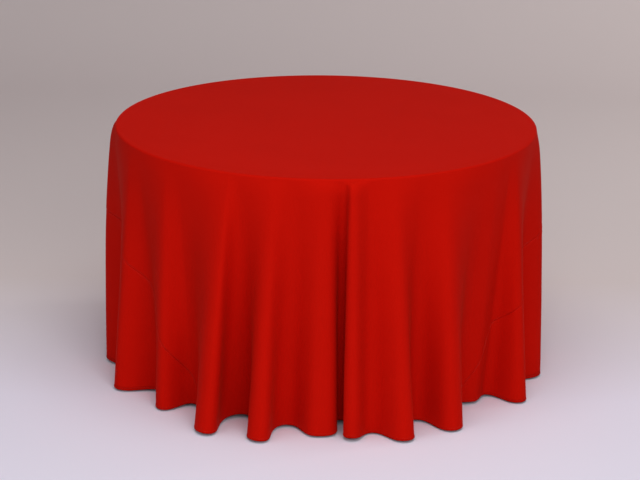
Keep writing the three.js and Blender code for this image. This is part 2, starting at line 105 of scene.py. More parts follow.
class NodeTree:
    """A new material's node tree, with one method that adds any node."""

    def __init__(self, name: str) -> None:
        """Makes an empty material of that name."""
        self.material = bpy.data.materials.new(name)
        self.material.use_nodes = True
        self.tree = self.material.node_tree
        self.tree.nodes.clear()

    def node(self, kind: str, settings: dict, inputs: dict, output: int | str = 0) -> Wire | None:
        """Adds a node.

        Args:
            kind: the node's type.
            settings: its own settings, set before its sockets; "stops" fills a colour ramp.
            inputs: values or wires by socket index or name.
            output: the output socket to return.

        Returns:
            The chosen output as a wire, or nothing from a node without outputs.
        """
        made = self.tree.nodes.new(kind)
        for key, value in settings.items():
            if key == "stops":
                self._fill_ramp(made, value)
            else:
                setattr(made, key, value)
        for key, value in inputs.items():
            if isinstance(value, Wire):
                self.tree.links.new(value.socket, made.inputs[key])
            else:
                made.inputs[key].default_value = value
        return Wire(self, made.outputs[output]) if len(made.outputs) else None

    @staticmethod
    def _fill_ramp(ramp: bpy.types.Node, stops: list[tuple[float, tuple]]) -> None:
        """Sets a colour ramp's stops from (position, colour) pairs."""
        elements = ramp.color_ramp.elements
        while len(elements) < len(stops):
            elements.new(0.5)
        for element, (position, colour) in zip(elements, stops):
            element.position = position
            element.color = (*colour, 1.0)

    def mapped(self, source: str, scale: Triple) -> Wire:
        """A texture coordinate, "Object" or "UV", stretched along each axis."""
        vector = self.node("ShaderNodeTexCoord", {}, {}, source)
        return self.node("ShaderNodeMapping", {}, {"Vector": vector, "Scale": scale})

    def noise(self, vector: Wire, scale: float, detail: float = 2.0, roughness: float = 0.5) -> Wire:
        """Smooth noise from 0 to 1; detail counts its finer layers, roughness is their strength."""
        return self.node("ShaderNodeTexNoise", {}, {
            "Vector": vector, "Scale": scale, "Detail": detail, "Roughness": roughness,
        })

    def blend(self, share: Wire, first: tuple, second: tuple) -> Wire:
        """A colour between two linear ones: the first at a share of 0, the second at 1."""
        return self.node("ShaderNodeMix", {"data_type": "RGBA"}, {
            0: share, 6: (*first, 1.0), 7: (*second, 1.0),
        }, 2)

    def bump(self, height: Wire, strength: float, distance: float) -> Wire:
        """A normal bent by a share of a height; the distance is how deep a height of 1 is."""
        return self.node("ShaderNodeBump", {}, {
            "Height": height, "Strength": strength, "Distance": distance,
        })

    def surface(self, inputs: dict) -> Material:
        """Ends the tree with a Principled shader of these inputs and gives the material."""
        shader = self.node("ShaderNodeBsdfPrincipled", {}, inputs)
        self.node("ShaderNodeOutputMaterial", {}, {"Surface": shader})
        return self.material


def linear(red: float, green: float, blue: float) -> Triple:
    """Linear values of a colour given as it looks on a screen, each from 0 to 255."""
    def channel(value: float) -> float:
        """One channel's linear value."""
        share = value / 255
        return share / 12.92 if share <= 0.04045 else ((share + 0.055) / 1.055) ** 2.4
    return channel(red), channel(green), channel(blue)


@dataclass(frozen=True)
class ClothFinish:
    """Plain-woven polyester: matt, with a faint sheen, fine threads and slight slubs."""

    name: str
    colour: Triple
    deep_colour: Triple
    thread_pitch: float = 0.0006
    weave_depth: float = 0.00012
    slub_fineness: float = 900.0
    slub_run: float = 14.0
    cloud_scale: float = 5.0
    roughness: float = 0.8
    shine: float = 0.03
    shine_tint: tuple[float, ...] = (1.0, 0.7, 0.4, 1.0)
    sheen: float = 0.014
    sheen_tint: tuple[float, ...] = (1.0, 0.4, 0.16, 1.0)

    def material(self) -> Material:
        """Builds the fabric's material."""
        tree = NodeTree(self.name)
        flat = tree.node("ShaderNodeTexCoord", {}, {}, "UV")
        across = tree.node("ShaderNodeSeparateXYZ", {}, {0: flat}, 0)
        along = tree.node("ShaderNodeSeparateXYZ", {}, {0: flat}, 1)
        threads = FULL_TURN / self.thread_pitch
        weft = (across * threads).sine()
        warp = (along * threads).sine()
        weave = weft * warp * 0.5 + (weft + warp) * 0.25

        fine, run = self.slub_fineness, self.slub_run
        slub_warp = tree.noise(tree.mapped("UV", (fine, run, 1)), 1.0, 3.0, 0.6)
        slub_weft = tree.noise(tree.mapped("UV", (run, fine, 1)), 1.0, 3.0, 0.6)
        slubs = slub_warp * 0.5 + slub_weft * 0.5
        cloudy = tree.noise(tree.mapped("Object", PLAIN), self.cloud_scale, 3.0, 0.55)
        share = ((slubs - 0.5) * 1.1 + (cloudy - 0.5) * 0.5 + weave * 0.16 + 0.5).clamped()
        height = weave * 0.6 + slubs * 0.8
        return tree.surface({
            "Base Color": tree.blend(share, self.deep_colour, self.colour),
            "Roughness": self.roughness,
            "Specular IOR Level": self.shine,
            "Specular Tint": self.shine_tint,
            "Sheen Weight": self.sheen,
            "Sheen Roughness": 0.35,
            "Sheen Tint": self.sheen_tint,
            "Normal": tree.bump(height, 0.55, self.weave_depth),
        })


class Grain(Enum):
    """Which way a board's grain runs."""

    ALONG_X = (1.5, 22.0, 22.0)
    ALONG_Y = (22.0, 1.5, 22.0)


@dataclass(frozen=True)
class WoodFinish:
    """Planed and lacquered wood with long grain and pores."""

    name: str
    light: Triple
    dark: Triple
    grain: Grain
    roughness: float = 0.48

    def material(self) -> Material:
        """Builds the wood's material."""
        tree = NodeTree(self.name)
        stretch = self.grain.value
        place = tree.mapped("Object", stretch)
        figure = tree.noise(place, 2.2, 5.0, 0.62)
        rings = ((figure * 46.0).sine() + 1.0) * 0.5
        pores = tree.noise(tree.mapped("Object", tuple(9 * s for s in stretch)), 2.0, 2.0, 0.7)
        share = (rings * 0.45 + figure * 0.4 + pores * 0.25).clamped()
        return tree.surface({
            "Base Color": tree.blend(share, self.dark, self.light),
            "Roughness": (pores * 0.25 + (self.roughness - 0.1)).clamped(),
            "Coat Weight": 0.12,
            "Normal": tree.bump(pores + rings * 0.3, 0.35, 0.0004),
        })


@dataclass(frozen=True)
class PaintFinish:
    """Hammered powder coat on steel, chipped lighter here and there."""

    name: str
    colour: Triple
    worn: Triple

    def material(self) -> Material:
        """Builds the paint's material."""
        tree = NodeTree(self.name)
        place = tree.mapped("Object", PLAIN)
        dimples = tree.noise(place, 260.0, 1.5, 0.4)
        wear = tree.node("ShaderNodeValToRGB", {
            "stops": [(0.66, (0, 0, 0)), (0.74, (1, 1, 1))],
        }, {0: tree.noise(place, 34.0, 6.0, 0.7)})
        share = tree.node("ShaderNodeRGBToBW", {}, {0: wear}) * 0.6 + dimples * 0.15
        return tree.surface({
            "Base Color": tree.blend(share.clamped(), self.colour, self.worn),
            "Roughness": (dimples * 0.3 + 0.26).clamped(),
            "Metallic": 0.35,
            "Coat Weight": 0.25,
            "Normal": tree.bump(dimples, 0.5, 0.0006),
        })


@dataclass(frozen=True)
class MetalFinish:
    """Zinc plating: bright, brushed and slightly clouded."""

    name: str
    bright: Triple
    dull: Triple

    def material(self) -> Material:
        """Builds the plating's material."""
        tree = NodeTree(self.name)
        clouds = tree.noise(tree.mapped("Object", PLAIN), 70.0, 4.0, 0.6)
        scratches = tree.noise(tree.mapped("Object", (30, 900, 900)), 1.0, 2.0, 0.6)
        return tree.surface({
            "Base Color": tree.blend(clouds, self.dull, self.bright),
            "Metallic": 0.95,
            "Roughness": (clouds * 0.25 + scratches * 0.15 + 0.12).clamped(),
            "Normal": tree.bump(scratches, 0.25, 0.0002),
        })


@dataclass(frozen=True)
class MouldedFinish:
    """Moulded plastic or rubber with a fine grained skin."""

    name: str
    colour: Triple
    pale: Triple
    roughness: float
    grain_scale: float

    def material(self) -> Material:
        """Builds the moulding's material."""
        tree = NodeTree(self.name)
        place = tree.mapped("Object", PLAIN)
        skin = tree.noise(place, self.grain_scale, 3.0, 0.6)
        dust = tree.noise(place, 18.0, 5.0, 0.65)
        return tree.surface({
            "Base Color": tree.blend((skin * 0.35 + dust * 0.4).clamped(), self.colour, self.pale),
            "Roughness": (skin * 0.2 + (self.roughness - 0.1)).clamped(),
            "Normal": tree.bump(skin, 0.4, 0.0003),
        })


RED = ClothFinish("red_polyester", linear(197, 17, 6), linear(180, 12, 4))
RED_HEM = ClothFinish("red_polyester_hem", linear(186, 11, 1), linear(164, 8, 0))
RED_THREAD = MouldedFinish("red_sewing_thread", linear(188, 18, 10), linear(205, 34, 22), 0.6, 4000.0)
BEECH = (linear(206, 160, 108), linear(164, 112, 66))


# ------------------------------------ meshes


def link(name: str, mesh: bpy.types.Mesh, material: Material) -> Piece:
    """Puts a mesh into the scene as a piece at the origin.

    Args:
        name: the piece's name.
        mesh: its mesh, in the frame's own place.
        material: its finish.

    Returns:
        The new object.
    """
    piece = bpy.data.objects.new(name, mesh)
    mesh.materials.clear()
    mesh.materials.append(material)
    bpy.context.scene.collection.objects.link(piece)
    return piece


def grid_mesh(
    name: str, points: np.ndarray, flat: np.ndarray, closed_round: bool, pole: bool = False
) -> bpy.types.Mesh:
    """A smooth open sheet from a grid of points.

    Args:
        name: the mesh's name.
        points: rows by columns by 3, columns turning with the azimuth, rows going outwards.
        flat: rows by columns by 2, the same points in the flat cloth.
        closed_round: whether the last column joins the first.
        pole: whether the first row is one point.

    Returns:
        The mesh, its faces outwards, with the flat cloth as its UV map.
    """
    rows, columns = points.shape[:2]
    index = np.arange(rows * columns).reshape(rows, columns)
    after = np.roll(index, -1, axis=1) if closed_round else index[:, 1:]
    here = index if closed_round else index[:, :-1]
    quads = np.stack([here[:-1], here[1:], after[1:], after[:-1]], axis=-1).reshape(-1, 4)
    faces = quads.tolist()
    loops = flat.reshape(-1, 2)[quads].tolist()
    if pole:
        span = here.shape[1]
        faces[:span] = [(0, outer, after_outer) for _, outer, after_outer, _ in faces[:span]]
        loops[:span] = [corners[:3] for corners in loops[:span]]
    mesh = bpy.data.meshes.new(name)
    mesh.from_pydata(points.reshape(-1, 3).tolist(), [], faces)
    layer = mesh.uv_layers.new(name="flat_cloth")
    layer.data.foreach_set("uv", np.array([v for c in loops for v in c], np.float32).ravel())
    mesh.polygons.foreach_set("use_smooth", np.ones(len(mesh.polygons), bool))
    drop_loose_points(mesh)
    return mesh


def drop_loose_points(mesh: bpy.types.Mesh) -> None:
    """Deletes points that no face uses."""
    work = bmesh.new()
    work.from_mesh(mesh)
    loose = [v for v in work.verts if not v.link_faces]
    bmesh.ops.delete(work, geom=loose, context="VERTS")
    work.to_mesh(mesh)
    work.free()


def thicken(piece: Piece, thickness: float) -> None:
    """Gives an open sheet its thickness, inwards from its face."""
    wall = piece.modifiers.new("thickness", "SOLIDIFY")
    wall.thickness = thickness
    wall.offset = -1


def swept_tube(
    name: str, path: np.ndarray, out: np.ndarray, up: np.ndarray,
    half_width: float, half_height: float, sides: int = 10,
) -> bpy.types.Mesh:
    """A closed round-cornered band swept along a closed path.

    Args:
        name: the mesh's name.
        path: points along the middle of the band.
        out: unit vectors across its thickness at those points.
        up: unit vectors along its height.
        half_width: half its thickness.
        half_height: half its height.
        sides: points round its section.

    Returns:
        The mesh, its faces outwards.
    """
    turns = np.arange(sides) / sides * FULL_TURN
    ring = np.stack([np.cos(turns) * half_width, np.sin(turns) * half_height], axis=1)
    points = path[:, None] + ring[None, :, :1] * out[:, None] + ring[None, :, 1:] * up[:, None]
    count = len(path)
    index = np.arange(count * sides).reshape(count, sides)
    after = np.roll(index, -1, axis=0)
    quads = np.stack([
        index, after, np.roll(after, -1, axis=1), np.roll(index, -1, axis=1),
    ], axis=-1).reshape(-1, 4)
    mesh = bpy.data.meshes.new(name)
    mesh.from_pydata(points.reshape(-1, 3).tolist(), [], quads.tolist())
    mesh.polygons.foreach_set("use_smooth", np.ones(len(quads), bool))
    return mesh


def unit(vectors: np.ndarray) -> np.ndarray:
    """Vectors at a length of 1."""
    return vectors / np.maximum(np.linalg.norm(vectors, axis=-1, keepdims=True), 1e-12)


# ------------------------------------ folds


@dataclass(frozen=True)
class Fold:
    """One fold of the skirt, at the hem: a crest that stands out and the recess after it.

    Azimuths are in degrees from the front towards +X. Reach and depth are in millimetres beyond the
    table's edge. A lean moves a turn's azimuth by that many degrees at the edge, fading to none at
    the hem. An early turn forms sooner below the edge than the rest. A skew gathers the bend of
    the half fold after the crest, or after the recess, towards its crest, or below nought away.
    """

    crest: float
    reach: float
    recess: float
    depth: float
    crest_lean: float = 0.0
    recess_lean: float = 0.0
    crest_early: float = 0.0
    recess_early: float = 0.0
    fall_skew: float = 0.14
    rise_skew: float = 0.14


FOLDS = (
    Fold(-91, 38, -79, -46, 0, 0, 0.4, 0.0),
    Fold(-67.5, 41, -59.5, -66, 3.5, 3),
    Fold(-48.4, 9, -43.5, -84, 2.4, 3.4, 0, 0, 0.14, 0.3),
    Fold(-28.5, 78, -24.8, -98, 3, 3, 0, 0, 0.5, 0.1),
    Fold(-15.1, 67, -9.7, -72, 2, 2.6, 0, 0, 0.4, 0.0),
    Fold(-1.6, -3, 5.2, -106, 1.2, -0.7, 0.3, 0.3, -0.95, 0.0),
    Fold(7.6, 29, 13.2, -21, -0.9, -1.4, 0.6, 0.0, 0.2, 0.0),
    Fold(20.2, 68, 28, -66, -2, -3, 0, 0, 0.3, 0.0),
    Fold(34.2, 56, 47, -92, -1.4, -1, 0, 0, 0.4, 0.14),
    Fold(53.6, -64, 58.6, -72, -3, -2.5, 0, 0, 0.0, -0.2),
    Fold(61.5, 50, 71, -61, -0.5, 2),
    Fold(82, 36, 90, -46, 0, 0, 0.3, 0.0),
    Fold(101, 58, 109, -98),
    Fold(116, 56, 123, -106),
    Fold(129, 73, 135.5, -104, 2, -1),
    Fold(143, 46, 150, -98),
    Fold(158, 66, 166, -110, -2, 0),
    Fold(173, 58, 180, -106),
    Fold(187, 46, 194, -98, 2, 1),
    Fold(201, 76, 209, -110),
    Fold(217, 58, 224, -104, -2, -1),
    Fold(231, 78, 239, -110),
    Fold(246, 46, 252, -96),
    Fold(259, 58, 264.5, -72, 1, 0),
)


@dataclass
class Drape:
    """The shape of a round cloth hung over a round table, from the length of each of its rows.

    Every row of the skirt is a wavy ring, about as long as the flat cloth is at that distance from
    its middle. Each half fold's heading swings out and back like a bent strip's.
    """

    folds: tuple[Fold, ...]
    edge_radius: float
    top_height: float
    cloth_radius: float
    bend: float = 0.006
    apron: float = 0.034
    growth: float = 1.05
    flank_evenness: float = 0.3
    widest_swing: float = 1.96
    swing_steps: int = 600
    least_fall: float = 0.5
    row_gather: float = 1.25
    columns_per_half: int = 14
    fine_steps: int = 112
    fine_rows: int = 221
    rows: np.ndarray = field(init=False)
    places: np.ndarray = field(init=False)
    angles: np.ndarray = field(init=False)

    def __post_init__(self) -> None:
        """Works out every row of the skirt."""
        self.flat_radius = self.edge_radius - self.bend
        self.skirt_start = self.flat_radius + self.bend * QUARTER_TURN
        self.full_drop = self.cloth_radius - self.skirt_start
        self._tabulate_swings()
        self.turns = np.radians([[f.crest, f.recess] for f in self.folds]).ravel()
        self.leans = np.radians([[f.crest_lean, f.recess_lean] for f in self.folds]).ravel()
        self.steps = self._column_steps()
        share = self.steps / self.fine_steps
        edge = self.turns + self.leans
        spans = np.mod(np.roll(edge, -1) - edge, FULL_TURN)
        self.angles = (edge[:, None] + spans[:, None] * share[None, :]).ravel()
        self.rows = self.full_drop * np.linspace(0, 1, self.fine_rows) ** self.row_gather
        self.places = self._skirt()
        length = self._row_length(self.full_drop)
        log.info("hem %.3f m round, from %.3f m of cloth", length, FULL_TURN * self.cloth_radius)

    def _tabulate_swings(self) -> None:
        """Tables how far a half fold advances and rises for each swing of its heading."""
        self.swings = np.linspace(0.0, self.widest_swing, self.swing_steps)
        middle = (np.arange(self.fine_steps) + 0.5) / self.fine_steps
        skew = np.array([[f.fall_skew, f.rise_skew] for f in self.folds]).reshape(-1, 1)
        wave = np.sin(math.pi * (middle + skew * middle * (1 - middle)))
        self.profile = wave * (1 + self.flank_evenness * (1 - wave ** 2))
        heading = self.swings[:, None] * self.profile[:, None, :]
        self.advance = np.cos(heading).mean(2)
        self.slope = np.sin(heading).mean(2) / self.advance

    def _column_steps(self) -> np.ndarray:
        """Columns of a half fold as fine steps, closer where the cloth bends most."""
        even = np.linspace(0, 1, self.columns_per_half + 1)
        half = np.arcsin(np.clip(2 * even, 0, 1)) / math.pi
        by_bend = np.where(even <= 0.5, half, 1 - half[::-1])
        share = 0.5 * even + 0.5 * by_bend
        return np.round(share[:-1] * self.fine_steps).astype(int)

    def _turning_points(self, drop: float) -> tuple[np.ndarray, np.ndarray]:
        """Where the crests and recesses of one row are.

        Args:
            drop: the distance below the edge, along the cloth.

        Returns:
            Azimuths and radii, in order round the table.
        """
        share = drop / self.full_drop
        held = max(0.0, drop - self.apron) / (self.full_drop - self.apron)
        early = np.array([[f.crest_early, f.recess_early] for f in self.folds])
        stand = share ** (self.growth * (1 - early[:, 0]))
        fall = held ** (self.growth * (1 - early[:, 1]))
        reach, depth = np.array([[f.reach, f.depth] for f in self.folds]).T / 1000
        foot = (np.roll(depth * fall, 1) + depth * fall) / 2
        foot_at_hem = (np.roll(depth, 1) + depth) / 2
        crest = self.edge_radius + foot + (reach - foot_at_hem) * stand
        recess = self.edge_radius + depth * fall
        radii = np.stack([crest, recess], axis=1).ravel()
        return self.turns + self.leans * (1 - share), radii

    def _swing(self, angles: np.ndarray, radii: np.ndarray) -> tuple[np.ndarray, np.ndarray]:
        """Swings and straight lengths of each half fold of a row."""
        span = np.mod(np.roll(angles, -1) - angles, FULL_TURN)
        arc = span * (radii + np.roll(radii, -1)) / 2
        slope = np.abs(np.roll(radii, -1) - radii) / arc
        swing = [np.interp(steep, table, self.swings) for steep, table in zip(slope, self.slope)]
        return np.array(swing), arc

    def _row_length(self, drop: float) -> float:
        """Length once round a row."""
        swing, arc = self._swing(*self._turning_points(drop))
        ahead = [np.interp(wide, self.swings, table) for wide, table in zip(swing, self.advance)]
        return float((arc / np.array(ahead)).sum())

    def _plan_row(self, drop: float) -> np.ndarray:
        """Plan positions of every column of a row."""
        angles, radii = self._turning_points(drop)
        swing, _ = self._swing(angles, radii)
        heading = swing[:, None] * self.profile
        heading[1::2] = heading[1::2, ::-1]
        zero = np.zeros((len(swing), 1))
        advance = np.hstack([zero, np.cumsum(np.cos(heading), 1)])
        rise = np.hstack([zero, np.cumsum(np.sin(heading), 1)])
        even = np.linspace(0, 1, self.fine_steps + 1)
        rise_share = np.where(rise[:, -1:] > 1e-9, rise / np.maximum(rise[:, -1:], 1e-9), even)
        advance_share = advance / advance[:, -1:]
        span = np.mod(np.roll(angles, -1) - angles, FULL_TURN)[:, None]
        bearing = angles[:, None] + span * advance_share[:, self.steps]
        reach = radii[:, None] + (np.roll(radii, -1) - radii)[:, None] * rise_share[:, self.steps]
        bearing, reach = bearing.ravel(), reach.ravel()
        return np.stack([reach * np.sin(bearing), -reach * np.cos(bearing)], axis=1)

    def _skirt(self) -> np.ndarray:
        """Every fine row of the skirt; heights follow from the cloth's own length."""
        plan = np.array([self._plan_row(drop) for drop in self.rows])
        step = np.diff(self.rows)[:, None]
        sideways = np.linalg.norm(np.diff(plan, axis=0), axis=2)
        fall = np.sqrt(np.maximum(step ** 2 - sideways ** 2, (self.least_fall * step) ** 2))
        below_edge = np.vstack([np.zeros((1, plan.shape[1])), np.cumsum(fall, 0)])
        return np.dstack([plan, self.top_height - self.bend - below_edge])

    def at(self, distance: np.ndarray, columns: np.ndarray) -> np.ndarray:
        """Draped places of points of the flat cloth.

        Args:
            distance: rows by columns, how far each point is from the cloth's middle.
            columns: which column each belongs to.

        Returns:
            Rows by columns by 3.
        """
        bearing = self.angles[columns][None, :]
        outward = np.dstack([np.sin(bearing), -np.cos(bearing)])
        turn = np.clip((distance - self.flat_radius) / self.bend, 0, QUARTER_TURN)
        reach = np.minimum(distance, self.flat_radius) + self.bend * np.sin(turn)
        height = self.top_height - self.bend * (1 - np.cos(turn))
        top = np.dstack([outward * reach[:, :, None], height])

        drop = np.clip(distance - self.skirt_start, 0, self.full_drop)
        row = np.clip(np.searchsorted(self.rows, drop) - 1, 0, len(self.rows) - 2)
        share = ((drop - self.rows[row]) / (self.rows[row + 1] - self.rows[row]))[:, :, None]
        column = np.broadcast_to(columns[None, :], distance.shape)
        skirt = self.places[row, column] * (1 - share) + self.places[row + 1, column] * share
        return np.where((distance > self.skirt_start)[:, :, None], skirt, top)

    def flat(self, distance: np.ndarray, columns: np.ndarray, turn: float) -> np.ndarray:
        """The same points in the flat cloth, turned so that its seams run along Y."""
        bearing = self.angles[columns][None, :] + turn
        return np.dstack([distance * np.sin(bearing), -distance * np.cos(bearing)])


def grid_normals(points: np.ndarray, closed_round: bool) -> np.ndarray:
    """Outward unit normals of a grid of points."""
    down = np.gradient(points, axis=0)
    if closed_round:
        along = np.roll(points, -1, axis=1) - np.roll(points, 1, axis=1)
    else:
        along = np.gradient(points, axis=1)
    return unit(np.cross(down, along))


@dataclass
class Unevenness:
    """Soft irregular swells that keep cloth from looking machined."""

    seed: int = 11
    waves: int = 26
    shortest: float = 0.07
    longest: float = 0.32
    height: float = 0.0016

    def at(self, points: np.ndarray) -> np.ndarray:
        """Heights of the swells at places in space.

        Args:
            points: rows by columns by 3.

        Returns:
            Rows by columns.
        """
        draw = np.random.default_rng(self.seed)
        total = np.zeros(points.shape[:2])
        for _ in range(self.waves):
            length = draw.uniform(self.shortest, self.longest)
            direction = unit(draw.normal(size=3) * (1, 1, 0.45))
            phase = draw.uniform(0, FULL_TURN)
            total += length * np.sin(points @ direction * FULL_TURN / length + phase)
        return total / np.abs(total).max() * self.height


# ------------------------------------ the cloth


@dataclass
class Tablecloth:
    """A round cloth: a centre panel, two side segments, chord seams and a rolled hem."""

    drape: Drape
    seam_offset: float = 0.880
    seam_turn: float = math.radians(-4.3)
    hem_height: float = 0.0046
    hem_thickness: float = 0.0022
    thickness: float = 0.0006
    groove_width: float = 0.005
    groove_depth: float = 0.0011
    pucker_length: float = 0.011
    pucker_height: float = 0.0011
    pucker_reach: float = 0.018
    pucker_start: float = 0.002
    pucker_drift: float = 37.0
    swell_onset: float = 9.0
    narrowest_side: float = 0.0006
    seam_gap: float = 0.0001
    strip_width: float = 0.012
    strip_thickness: float = 0.001
    strip_gap: float = 0.0004
    stitch_pitch: float = 0.0042
    stitch_length: float = 0.003024
    thread_thickness: float = 0.0007
    stitch_stand: float = 0.0001
    hem_row_gap: float = 0.0012
    seam_row_shift: float = 0.0035
    rows_at_seam: tuple[float, ...] = (0.016, 0.009, 0.005, 0.0025)
    rows_at_edge: tuple[float, ...] = (0.004, 0.010, 0.018, 0.028)
    even_rows_from: float = 0.040
    bend_rows: int = 6
    skirt_rows: int = 50
    side_rows: int = 30
    line_width: tuple[float, ...] = (-0.002, 0.0, 0.0005)
    rings_on_top: tuple[float, ...] = (0, 0.1, 0.2, 0.3, 0.4, 0.5, 0.57, 0.597)
    swells: Unevenness = field(default_factory=Unevenness)

    def __post_init__(self) -> None:
        """Makes the fabrics and works out where the seams and the hem lie."""
        self.fabric = RED.material()
        self.hem_fabric = RED_HEM.material()
        self.thread = RED_THREAD.material()
        self.panel_edge = self.drape.cloth_radius - self.hem_height * 0.5
        self.columns = np.arange(len(self.drape.angles))
        sine = np.abs(np.sin(self.drape.angles + self.seam_turn))
        self.seam_distance = self.seam_offset / np.maximum(sine, 1e-6)

    def _shape(self, distance: np.ndarray, columns: np.ndarray, closed_round: bool) -> np.ndarray:
        """Draped points with swells, seam grooves and puckers.

        Args:
            distance: rows by columns, distances from the cloth's middle.
            columns: the drape's columns.
            closed_round: whether the columns go all the way round.

        Returns:
            Rows by columns by 3.
        """
        points = self.drape.at(distance, columns)
        normal = grid_normals(points, closed_round)
        drop = np.clip((distance - self.drape.skirt_start) / self.drape.full_drop, 0, 1)
        offset = self.swells.at(points) * np.clip(drop * self.swell_onset, 0, 1)
        flat = self.drape.flat(distance, columns, self.seam_turn)
        from_seam = np.abs(np.abs(flat[:, :, 0]) - self.seam_offset)
        groove = np.exp(-(from_seam / (self.groove_width / 2)) ** 2)
        along = flat[:, :, 1]
        wave = np.sin(along * FULL_TURN / self.pucker_length + 2.2 * np.sin(along * self.pucker_drift))
        pucker = wave * np.exp(-from_seam / self.pucker_reach) * (1 - np.exp(-from_seam / self.pucker_start))
        offset += pucker * self.pucker_height - groove * self.groove_depth
        return points + normal * offset[:, :, None]

    def _panel(self, name: str, distance: np.ndarray, columns: np.ndarray, whole: bool) -> Piece:
        """One panel of the cloth, with its thickness.

        Args:
            name: the piece's name.
            distance: rows by columns, distances from the cloth's middle.
            columns: the drape's columns.
            whole: whether it goes all the way round and over the top.

        Returns:
            The panel.
        """
        points = self._shape(distance, columns, whole)
        flat = self.drape.flat(distance, columns, self.seam_turn)
        if whole:
            points[0] = (0, 0, self.drape.top_height)
        mesh = grid_mesh(name, points, flat, whole, pole=whole)
        piece = link(name, mesh, self.fabric)
        thicken(piece, self.thickness)
        return piece

    def _towards(self, near: np.ndarray, far: np.ndarray, rows: int, fine: tuple[float, ...]) -> np.ndarray:
        """Distances from near to far, with extra rows just short of far.

        Args:
            near: where each column starts.
            far: where each column ends.
            rows: how many even rows.
            fine: how far short of the end the extra rows lie, longest first.

        Returns:
            Rows by columns.
        """
        room = np.maximum(far - near, 1e-5)
        short = np.minimum(fine[0], room * 0.3)
        shares = np.array([*fine[1:], 0.0]) / fine[0]
        last = far - short * shares[:, None]
        return np.vstack([np.linspace(near, near + room - short, rows), last])

    def centre_panel(self) -> Piece:
        """The wide middle panel: the whole top, and the skirt down to the seams and the hem."""
        drape = self.drape
        rim = np.minimum(self.panel_edge, self.seam_distance)
        count = len(self.columns)
        bend = drape.flat_radius + drape.bend * QUARTER_TURN * np.linspace(0, 1, self.bend_rows)
        near_edge = drape.skirt_start + np.array(self.rows_at_edge)
        inner = np.repeat(np.hstack([self.rings_on_top, bend, near_edge])[:, None], count, axis=1)
        start = np.full(count, drape.skirt_start + self.even_rows_from)
        skirt = self._towards(start, rim, self.skirt_rows, self.rows_at_seam)
        distance = np.vstack([inner, skirt])
        return self._panel("cloth_centre_panel", distance, self.columns, True)

    def side_columns(self, side: int) -> np.ndarray:
        """Columns of one side whose seam lies inside the rim, in order round the table."""
        on_side = np.sign(np.sin(self.drape.angles + self.seam_turn)) == side
        inside = on_side & (self.seam_distance < self.panel_edge - self.narrowest_side)
        columns = np.flatnonzero(inside)
        jump = np.flatnonzero(np.diff(columns) > 1)
        return np.roll(columns, -(jump[0] + 1)) if len(jump) else columns

    def side_panel(self, side: int, name: str) -> Piece:
        """One side segment, from its straight seam down to the hem."""
        columns = self.side_columns(side)
        columns = np.hstack([columns[0] - 1, columns, columns[-1] + 1]) % len(self.columns)
        seam = self.seam_distance[columns] + self.seam_gap
        near = np.minimum(seam, self.panel_edge - self.narrowest_side)
        far = np.full(len(columns), self.panel_edge)
        back = self._towards(-far, -near, self.side_rows, self.rows_at_seam)
        return self._panel(name, -back[::-1], columns, False)

    def seam_strip(self, side: int, name: str) -> Piece:
        """The felled seam allowance, flat against the inside of the cloth."""
        columns = self.side_columns(side)[3:-3]
        middle = self.seam_distance[columns]
        edges = np.linspace(-0.5, 0.5, 5)[:, None] * self.strip_width + middle[None, :]
        distance = np.minimum(edges, self.panel_edge - 0.001)
        points = self._shape(distance, columns, False)
        points -= grid_normals(points, False) * (self.thickness + self.strip_gap)
        flat = self.drape.flat(distance, columns, self.seam_turn)
        piece = link(name, grid_mesh(name, points, flat, False), self.hem_fabric)
        thicken(piece, self.strip_thickness)
        return piece

    def _line(self, distance: np.ndarray, columns: np.ndarray, closed_round: bool) -> tuple:
        """A line drawn on the cloth.

        Args:
            distance: each column's distance from the cloth's middle.
            columns: the drape's columns.
            closed_round: whether it goes all the way round.

        Returns:
            Its points, the cloth's outward normals there, and the directions down the cloth.
        """
        near = distance + np.array(self.line_width)[:, None]
        points = self._shape(near, columns, closed_round)
        down = unit(points[2] - points[0])
        return points[1], grid_normals(points, closed_round)[1], down

    def hem(self) -> Piece:
        """The rolled rim, a little thicker than the cloth and slightly uneven."""
        middle = np.full(len(self.columns), self.drape.cloth_radius - self.hem_height / 2)
        path, out, down = self._line(middle, self.columns, True)
        mesh = swept_tube(
            "cloth_hem", path - out * self.thickness / 2, out, -down,
            self.hem_thickness / 2, self.hem_height / 2,
        )
        return link("cloth_hem", mesh, self.hem_fabric)

    def stitches(self, name: str, lines: list[np.ndarray], closed: bool) -> Piece:
        """Rows of stitches laid along lines, one small thread loop at each pitch.

        Args:
            name: the piece's name.
            lines: points of each line.
            closed: whether each line meets itself.

        Returns:
            The stitches as one plain mesh.
        """
        curve = bpy.data.curves.new(name, "CURVE")
        curve.dimensions = "3D"
        for line in lines:
            spline = curve.splines.new("POLY")
            spline.points.add(len(line) - 1)
            spline.points.foreach_set("co", np.hstack([line, np.ones((len(line), 1))]).ravel())
            spline.use_cyclic_u = closed
        carrier = bpy.data.objects.new(name + "_line", curve)
        bpy.context.scene.collection.objects.link(carrier)
        values = {
            "Pitch": self.stitch_pitch,
            "Stitch length": self.stitch_length,
            "Thread thickness": self.thread_thickness,
            "Thread": self.thread,
        }
        return baked(carrier, stitch_tree(), values, name)

    def build(self) -> list[Piece]:
        """Returns:
            The pieces.
        """
        centre = self.centre_panel()
        left = self.side_panel(-1, "cloth_side_panel_left")
        right = self.side_panel(1, "cloth_side_panel_right")
        hem = self.hem()
        seam_left = self.seam_strip(-1, "cloth_seam_left")
        seam_right = self.seam_strip(1, "cloth_seam_right")

